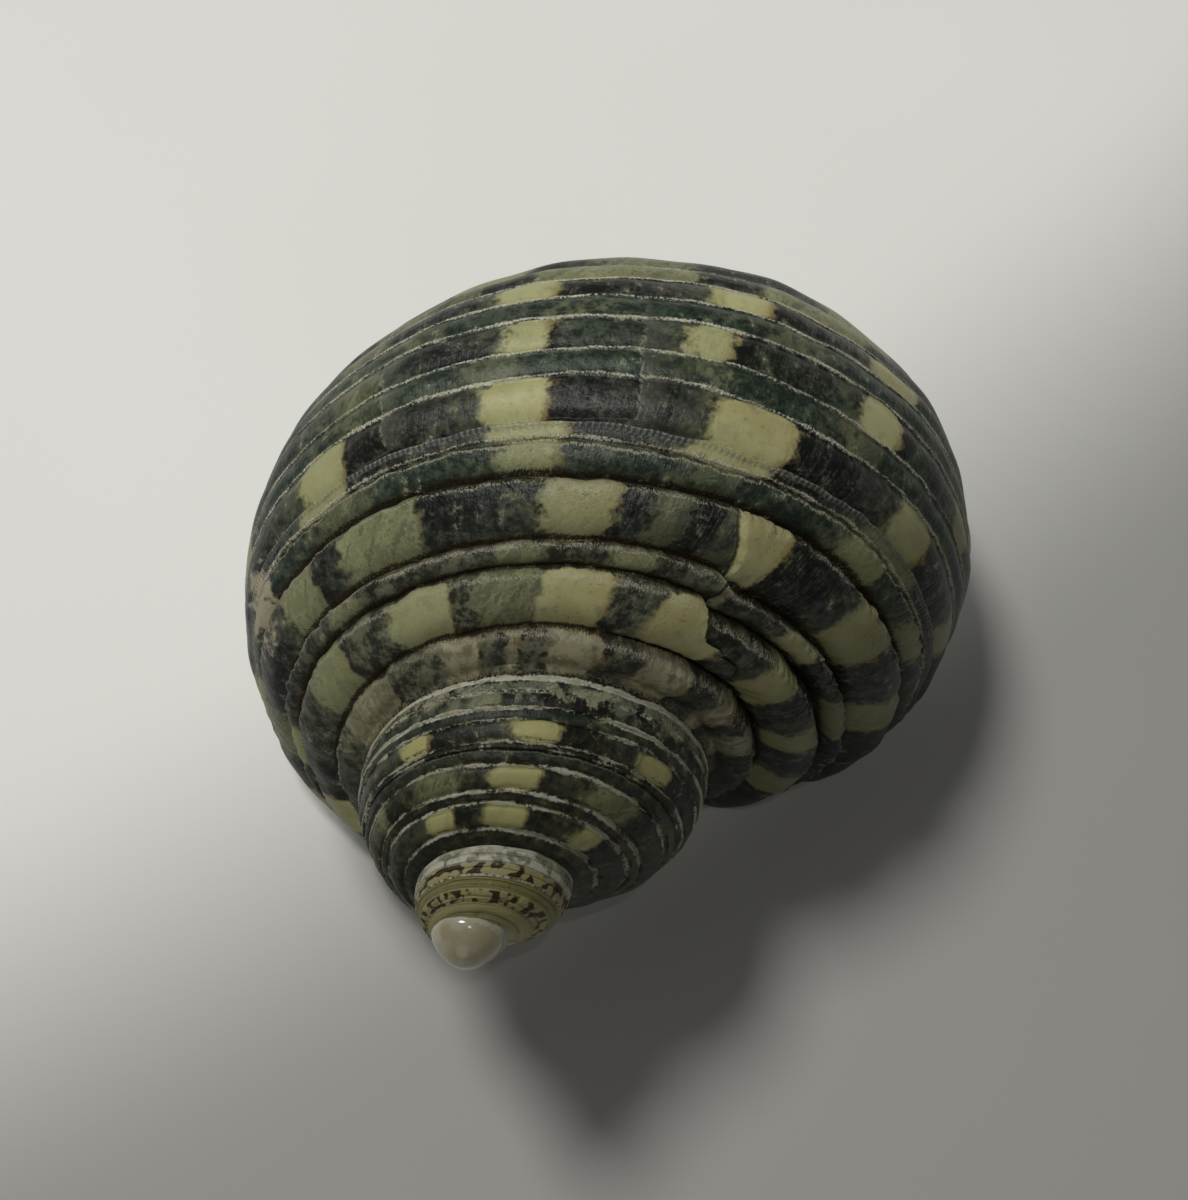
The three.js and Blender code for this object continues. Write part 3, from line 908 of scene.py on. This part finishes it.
def shell_finish():
    finish = Finish("ribbed shell")
    ramp, blend = finish.ramp, finish.blend
    growth = finish.node("ShaderNodeUVMap", {"uv_map": "growth"})
    split = finish.node("ShaderNodeSeparateXYZ", None, {0: Field(finish, growth.outputs["UV"])})
    place = Field(finish, split.outputs["X"]) * 360
    angle = Field(finish, split.outputs["Y"])
    where = Field(finish, finish.node("ShaderNodeTexCoord").outputs["Object"])
    blotch, pale, phase, groove, thread, fringe, teal = (finish.attribute(name) for name in (
        "blotch", "pale", "phase", "groove", "thread", "fringe", "teal"))
    spire, suture, crust, beige, past, broken, rest = (finish.attribute(name) for name in (
        "spire", "suture", "crust", "beige", "past", "broken", "rest"))
    rubbed, young, worn, pearl, dusty, limy, tip_rim = (finish.attribute(name) for name in (
        "rubbed", "young", "worn", "pearl", "dusty", "limy", "tip rim"))
    callus = finish.attribute("callus")

    # Grains and patches of several sizes, then growth lines, slanting strokes and the teeth of frayed edges.
    grit = finish.noise(where, GRIT_CELLS, 1.0, 0.6)
    grain = finish.noise(where, GRAIN_CELLS, 2.0, 0.6)
    mottle = finish.noise(where, MOTTLE_CELLS, 2.0, 0.6)
    cloud = finish.noise(where, CLOUD_CELLS, 1.0, 0.5)
    striae = finish.noise(finish.vector(place * 1.7, angle * 0.05), 1.0, 2.0, 0.65)
    waves = finish.noise(finish.vector(place * 0.4, angle * 0.04, 7.0), 1.0, 1.0, 0.5)
    dashes = finish.noise(finish.vector(place * 0.12, angle * 0.4, 11.0), 1.0, 2.0, 0.6)
    slash = finish.noise(finish.vector(place * 0.33 + angle * 0.15, angle * 0.06, 29.0), 1.0, 2.0, 0.6)
    teeth = finish.noise(finish.vector(place * 4.0, angle * 1.2, 19.0), 1.0, 1.0, 0.6)
    gritty, grainy, mottled, cloudy, streaky, wavy, dashed, slashed, toothed = (field - 0.5 for field in (
        grit, grain, mottle, cloud, striae, waves, dashes, slash, teeth))
    # The growth lines get stronger towards the view's right.
    combed = ramp(place, -10.0, 35.0, 0.35, 1.0)

    # Between the blotches: near black just after one, greyer and then greener towards the next.
    shade = (phase * 0.45 + cloudy * 0.6 + mottled * 1.1 + grainy * 0.9
             + streaky * combed * 1.1 + wavy * 0.7)
    lit = ramp(shade, -0.12, 0.55)
    slate = blend(lit, SLATE_DARK, SLATE)
    flecks = grain + mottled * 0.6 + streaky * combed * 0.6
    slate = blend(ramp(flecks, 0.45, 0.8, 0.0, 0.6) * lit, slate, SLATE_PALE)
    paler = ramp(mottle + cloudy * 0.6 + grainy * 0.3, 0.35, 0.7)
    green = blend(paler, TEAL, TEAL_PALE)
    green = blend(ramp(grain + mottled, 0.56, 0.34, 0.0, 0.5), green, SLATE_DARK)
    greened = ramp(teal + cloudy * 1.2 + mottled * 0.5, 0.3, 0.8)
    ground = blend(greened, slate, green)
    wash = ramp(phase + mottled + slashed * 0.6, 0.72, 1.15, 0.0, 0.6)
    ground = blend(wash, ground, OLIVE)
    olive = spire * ramp(mottle, 0.4, 0.68, 0.1, 0.7) * ramp(angle, 10.0, 45.0, 0.5, 1.2)
    ground = blend(olive, ground, SPIRE_OLIVE)
    dusted = ramp(mottle + slashed * 0.8 + grainy * 0.5, 0.35, 0.7, 0.1, 0.8)
    ground = blend(dusty * dusted, ground, DUST)
    darker = spire * ramp(phase + mottled * 0.8, 0.75, 0.2, 0.0, 0.45)
    ground = blend(darker, ground, SLATE_DARK)
    rested = ramp(rest + mottled * 1.5, 0.0, 0.3) * ramp(rest, 5.0, 0.5, 0.0, 0.5)
    ground = blend(rested, ground, SLATE_PALE)
    pores = ramp(grit, 0.66, 0.76, 0.0, 0.55)
    ground = blend(pores, ground, SLATE_DARK)

    # The blotches: clean where they are palest, else greener, streaked and soft at the ends.
    cream = blend(ramp(cloud + mottled * 0.5, 0.4, 0.65), CREAM, CREAM_WARM)
    cream = blend(spire * ramp(mottle, 0.35, 0.65, 0.5, 1.0), cream, CREAM_YELLOW)
    cream = blend(ramp(pale, 0.95, 0.45), cream, CREAM_GREEN)
    # Painted shade: the cream turns darker and greener towards the view's left, and darkens to olive towards
    # the right.
    cream = blend(ramp(place, 15.0, -35.0, 0.0, 0.6) * (1 - spire), cream, CREAM_GREEN)
    cream = blend(ramp(place, 42.0, 72.0, 0.0, 0.6), cream, OLIVE)
    cream = blend(ramp(mottle + slashed * 0.6, 0.5, 0.75, 0.0, 0.5), cream, CREAM_GREEN)
    streaks = ramp(slash + mottled * 0.8 + grainy * 0.4, 0.46, 0.64)
    cream = blend(streaks * ramp(pale, 0.9, 0.5) * 0.75, cream, SLATE)
    cream = blend(beige, cream, blend(ramp(mottle, 0.4, 0.62), BEIGE, BEIGE_DARK))
    cream = blend(ramp(grain + cloudy * 0.5, 0.68, 0.78, 0.0, 0.35), cream, BROWN)
    edge = blotch + mottled * (2.6 + spire * 4.0 + (1 - pale) * 5.0)
    edge = edge + grainy * 1.2 + slashed * 9.0 * (1 - pale)
    cover = ramp(edge * (0.15 + pale * 0.95) * (1 - spire * 0.6), -0.7, 0.7)
    clouded = ramp(mottle + grainy * 0.5 + slashed * 0.8, 0.58, 0.4) * (1 - pale)
    cover = cover * ramp(pale, 0.2, 0.75, 0.25, 1.0) * (1 - clouded)
    colour = blend(cover, ground, cream)
    stain = ramp(edge, -1.4, -0.1) * ramp(edge, 1.6, 0.3) * ramp(phase, 0.3, 0.02)
    stain = stain * ramp(mottle, 0.45, 0.62, 0.05 + spire * 0.3, 0.65) * ramp(pale, 0.5, 0.9)
    colour = blend(stain, colour, TAN)

    # The small whorls by the tip, from the suture: chalk with dark spots, blotches, a ridge, brown dots.
    spotted = ramp(mottle + grainy * 0.2, 0.48, 0.64, 0.0, 0.8)
    chequers = finish.noise(finish.vector(place * 0.1, angle * 0.07, 43.0), 1.0, 1.0, 0.4)
    chequers = ramp(chequers + mottled * 0.2, 0.5, 0.55)
    chequers = blend(chequers, CREAM_WARM, BROWN)
    bands = blend(ramp(angle, 3.0, 7.0), blend(spotted, CHALK, SLATE), chequers)
    speckled = blend(ramp(grain, 0.4, 0.6), CHALK, TAN)
    bands = blend(ramp(angle, 19.0, 20.5), bands, speckled)
    bands = blend(ramp(angle, 22.0, 23.5), bands, SPIRE_RIDGE)
    dots = finish.noise(finish.vector(place * 0.11, angle * 0.07, 57.0), 1.0, 1.0, 0.4)
    dots = ramp(dots + mottled * 0.2, 0.48, 0.54)
    dots = dots * ramp(angle, 38.0, 41.0) * ramp(angle, 60.0, 55.0)
    bands = blend(ramp(angle, 35.0, 38.0), bands, blend(dots, CREAM_WARM, BROWN))
    colour = blend(young, colour, bands)

    # One thread is a row of beads. Brown dirt and painted shade, near black where thickest, darken the
    # grooves, and the edges beside them fray.
    corded = ramp(angle, 22.2, 22.7) * ramp(angle, 24.8, 24.2) * (1 - spire)
    beads = finish.math("SINE", place * 6.7, 0.0) * corded
    strung = ramp(cloud + mottled * 0.5, 0.38, 0.6, 0.1, 0.5)
    beaded = blend(0.5 + beads * strung, SLATE, CORD_GREY)
    colour = blend(corded * (1 - cover * 0.8) * 0.8, colour, beaded)
    soiled_and_shaded = groove * (1 - spire * ramp(dashes, 0.4, 0.6)) * (1 - young * 0.75)
    soiled_and_shaded = soiled_and_shaded + gritty * 0.9 + toothed * 1.1
    dirt_and_painted_shade = ramp(soiled_and_shaded, 0.35, 0.75)
    colour = blend(dirt_and_painted_shade * 0.8, colour, BROWN)
    colour = blend(ramp(soiled_and_shaded, 0.6, 0.95) * 0.8, colour, DIRT_AND_SHADE_BLACK)
    frayed = ramp(fringe + toothed * 1.6 + gritty * 1.2 + cloudy * 0.8, 0.6, 1.0)
    colour = blend(frayed * (0.8 - spire * 0.3), colour, FRAY)

    # Threads are chalky. The spire has a limy film and a white line by its sutures; the last one is crusted.
    ragged = gritty * 1.2 + grainy * spire * 1.6 + mottled * (0.6 + spire * 0.8)
    ragged = ragged + dashed * (1 + spire) + cloudy * spire * 2.2
    chalky = ramp(thread * (0.85 + spire * 0.2) + ragged + beads * 0.15, 0.45, 1.0)
    chalky = chalky * (1 - corded * 0.6) * (1 - young * 0.85) * ramp(thread, 0.04, 0.3)
    filmed = limy * 0.8 + gritty + mottled * 2.6 + streaky * 0.8
    film = blend(ramp(grain + cloudy * 1.5, 0.4, 0.6), FILM, FILM_GREY)
    colour = blend(ramp(filmed, 0.3, 0.85) * 0.75, colour, film)
    crumbly = crust + gritty * 1.6 + grainy * 1.2 + cloudy * 2.0
    crusted = ramp(crumbly, 0.7, 0.95) * crust
    colour = blend(crusted, colour, blend(ramp(grit, 0.45, 0.6), DIRT_AND_SHADE_BLACK, CRUST))
    limed = suture * 1.15 + gritty + mottled * 1.2 + dashed * 0.6
    limed = ramp(limed, 0.45, 0.9)
    white = finish.math("MAXIMUM", limed, chalky)
    colour = blend(white * 0.85, colour, blend(ramp(mottle, 0.4, 0.7), CHALK, FILM))

    # The break, with a painted shadow line along its step, the resting lines, the rubbed patch and the pits.
    crack_and_shadow = ramp(finish.math("ABSOLUTE", past + grainy * 0.5, 0.0), 0.4, 0.1) * broken
    colour = blend(crack_and_shadow * ramp(angle, 44.0, 52.0, 0.45, 0.9), colour, DIRT_AND_SHADE_BLACK)
    lined = ramp(finish.math("ABSOLUTE", rest + mottled * 1.5, 0.0), 0.4, 0.12)
    lined = lined * ramp(grain, 0.35, 0.6)
    colour = blend(lined * 0.4, colour, FRAY)
    colour = blend(ramp(rubbed + mottled * 1.6, 0.4, 0.8, 0.0, 0.85), colour, RUBBED)
    ring = finish.spot(place, angle, RING, 0.28, 0.2) * finish.spot(place, angle, RING, 0.1, 0.16)
    pits = finish.math("MAXIMUM", finish.spot(place, angle, DOT, 0.22, 0.14), ring)
    colour = blend(pits, colour, DIRT_AND_SHADE_BLACK)

    # The pearly inside, the stained side of the pad and the worn tip.
    nacre = blend(ramp(cloud, 0.4, 0.65), NACRE, NACRE_GREEN)
    stains = blend(ramp(mottle + grainy * 0.6, 0.42, 0.6), CALLUS, CALLUS_DARK)
    stained = callus * ramp(mottle + cloudy * 1.2, 0.2, 0.6, 0.4, 1.0)
    colour = blend(pearl, colour, blend(stained, nacre, stains))
    bared = ramp(cloud + mottled * 0.8, 0.35, 0.7)
    colour = blend(worn, colour, blend(bared, WORN_TIP, WORN_TIP_PALE))
    chipped = ramp(tip_rim + gritty * 1.2 + mottled * 0.8, 0.35, 0.7)
    colour = blend(chipped * 0.8, colour, CHALK)

    pearly = pearl * (1 - callus * 0.7)
    smooth = finish.math("MAXIMUM", pearly, worn * (1 - chipped))
    rough = 0.4 + grainy * 0.3 + dirt_and_painted_shade * 0.3 + chalky * 0.2
    rough = rough + crusted * 0.3 + limed * 0.3 - smooth * 0.2
    # The fine relief is weaker on the blotches, which are glossy.
    plain = ramp(blotch, -0.5, 0.5) * pale
    height = (grain * 0.45 + striae * combed * 0.8 + mottle * 0.45) * (1 - plain * 0.75)
    height = height + grit * 0.15 + fringe * teeth + thread * grit * 0.8
    height = height + beads * (0.25 - plain * 0.2) - crack_and_shadow * 0.8
    height = height * (1 - finish.math("MAXIMUM", pearly, worn))
    bump = finish.node("ShaderNodeBump", None, {"Strength": 0.6, "Distance": FINE_RELIEF, "Height": height})
    finish.fill(finish.shader, {
        "Base Color": colour, "Roughness": rough, "Normal": Field(finish, bump.outputs["Normal"]),
        "Coat Weight": smooth * (0.6 + worn * 0.4), "Coat Roughness": 0.15, "Coat IOR": 1.7,
        "Specular IOR Level": 0.25})
    return finish.material


def floor_finish():
    finish = Finish("pale surface")
    where = Field(finish, finish.node("ShaderNodeTexCoord").outputs["Object"])
    cloud = finish.noise(where, FLOOR_CELLS, 3.0)
    colour = finish.blend(finish.ramp(cloud, 0.3, 0.7), FLOOR_GREY, FLOOR_PALE)
    finish.fill(finish.shader, {"Base Color": colour, "Roughness": 0.6 + cloud * 0.2})
    return finish.material


def floor():
    bm = bmesh.new()
    bmesh.ops.create_grid(bm, x_segments=1, y_segments=1, size=FLOOR_HALF)
    made = as_object(bm, "floor")
    made.data.materials.append(floor_finish())


def lamp(light, place, aim):
    light.color = LAMP_COLOUR
    made = bpy.data.objects.new(light.name, light)
    made.location = Vector(place)
    made.rotation_euler = (Vector(aim) - made.location).to_track_quat("-Z", "Y").to_euler()
    made.visible_camera = False
    bpy.context.scene.collection.objects.link(made)


def disk(name, size, power):
    light = bpy.data.lights.new(name, "AREA")
    light.shape = "DISK"
    light.size = size
    light.energy = power
    return light


def window():
    """A soft disk high on the far left, which throws the shell's shadow to the front and right."""
    lamp(disk("window", WINDOW_SIZE, WINDOW_POWER), WINDOW_PLACE, SHELL_AIM)


def far_window():
    """A second soft lamp whose beam reaches only the far left part of the surface."""
    light = bpy.data.lights.new("far window", "SPOT")
    light.energy = FAR_WINDOW_POWER
    light.shadow_soft_size = FAR_WINDOW_SIZE
    light.spot_size = math.radians(FAR_WINDOW_BEAM)
    light.spot_blend = FAR_WINDOW_EDGE
    lamp(light, FAR_WINDOW_PLACE, FAR_WINDOW_AIM)


def front_fill():
    """A weak broad lamp from the viewer's side that softens the shade on the spire."""
    lamp(disk("front fill", FILL_SIZE, FILL_POWER), FILL_PLACE, SHELL_AIM)


def room():
    world = bpy.data.worlds.new("room")
    world.use_nodes = True
    world.node_tree.nodes["Background"].inputs["Color"].default_value = ROOM_COLOUR
    world.node_tree.nodes["Background"].inputs["Strength"].default_value = ROOM_STRENGTH
    bpy.context.scene.world = world
    bpy.context.scene.view_settings.view_transform = "Standard"


def camera():
    lens = bpy.data.cameras.new("camera")
    lens.sensor_width = SENSOR_WIDTH
    lens.lens = LENS_LENGTH
    lens.clip_start = CAMERA_NEAREST
    made = bpy.data.objects.new("camera", lens)
    made.location = CAMERA_PLACE
    made.rotation_euler = (math.radians(CAMERA_TILT), 0, 0)
    bpy.context.scene.collection.objects.link(made)
    bpy.context.scene.camera = made


piece = shell()
piece.data.materials.clear()
piece.data.materials.append(shell_finish())
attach(piece, "root")
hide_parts("shell")
floor()
window()
far_window()
front_fill()
room()
camera()
